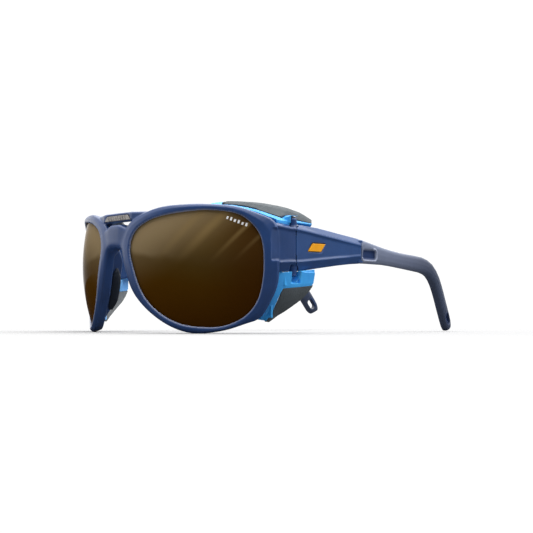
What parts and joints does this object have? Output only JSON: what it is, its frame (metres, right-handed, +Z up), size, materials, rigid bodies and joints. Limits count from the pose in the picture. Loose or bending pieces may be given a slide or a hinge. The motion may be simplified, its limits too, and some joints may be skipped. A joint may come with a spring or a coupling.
{
  "type": "glacier glasses",
  "caption": "Wrap-around glacier sunglasses with folding temples, soft bent tips, brown lenses, adjustable nose pads and clip-on side shields above and below each temple.",
  "frame": {"origin": "middle of the bounding box's base: between the two rims and tips that the open glasses stand on", "axes": "+X to the wearer's left, -Y the way the lenses face, +Z up"},
  "size_m": [0.1342, 0.1534, 0.0513],
  "materials": {
    "navy_frame": "fine matte moulded",
    "navy_temple": "matte with satin ridges",
    "bridge_metal": "brushed",
    "brown_lens": "tinted, lightly mirrored",
    "pad_rubber": "soft matte",
    "steel": "satin",
    "tip_rubber": "soft matte",
    "orange_badge": "satin",
    "blue_shield": "soft satin",
    "charcoal_panel": "fine grained soft"
  },
  "bodies": {
    "front": {"frame_front": "navy_frame", "bridge_plate": "bridge_metal", "lens_left": "brown_lens", "lens_right": "brown_lens", "hinge_screw_left": "steel", "hinge_screw_right": "steel"},
    "temple_left": {"temple_arm_left": "navy_temple", "temple_tip_left": "tip_rubber", "temple_core_left": "steel", "temple_badge_left": "orange_badge"},
    "shield_left": {"shield_frame_left": "blue_shield", "shield_panel_upper_left": "charcoal_panel", "shield_panel_lower_left": "charcoal_panel"},
    "pad_left": {"nose_pad_left": "pad_rubber", "nose_pad_wire_left": "steel"},
    "temple_right": {"temple_arm_right": "navy_temple", "temple_tip_right": "tip_rubber", "temple_core_right": "steel", "temple_badge_right": "orange_badge"},
    "shield_right": {"shield_frame_right": "blue_shield", "shield_panel_upper_right": "charcoal_panel", "shield_panel_lower_right": "charcoal_panel"},
    "pad_right": {"nose_pad_right": "pad_rubber", "nose_pad_wire_right": "steel"}
  },
  "joints": [
    {"name": "temple_fold_left", "type": "hinge", "parent": "front", "child": "temple_left", "pos_m": [0.0634, -0.0358, 0.0336], "axis": [0, 0, 1], "range_deg": [0, 85]},
    {"name": "shield_release_left", "type": "slide", "parent": "front", "child": "shield_left", "axis": [-1, 0, 0], "range_m": [0, 0.005]},
    {"name": "nose_pad_adjust_left", "type": "hinge", "parent": "front", "child": "pad_left", "pos_m": [0.01465, -0.06745, 0.0176], "axis": [0.4481, 0.157, -0.8801], "range_deg": [-3, 3]},
    {"name": "temple_fold_right", "type": "hinge", "parent": "front", "child": "temple_right", "pos_m": [-0.0634, -0.0358, 0.0336], "axis": [0, 0, -1], "range_deg": [0, 72]},
    {"name": "shield_release_right", "type": "slide", "parent": "front", "child": "shield_right", "axis": [1, 0, 0], "range_m": [0, 0.005]},
    {"name": "nose_pad_adjust_right", "type": "hinge", "parent": "front", "child": "pad_right", "pos_m": [-0.01465, -0.06745, 0.0176], "axis": [-0.4481, 0.157, -0.8801], "range_deg": [-3, 3]}
  ]
}
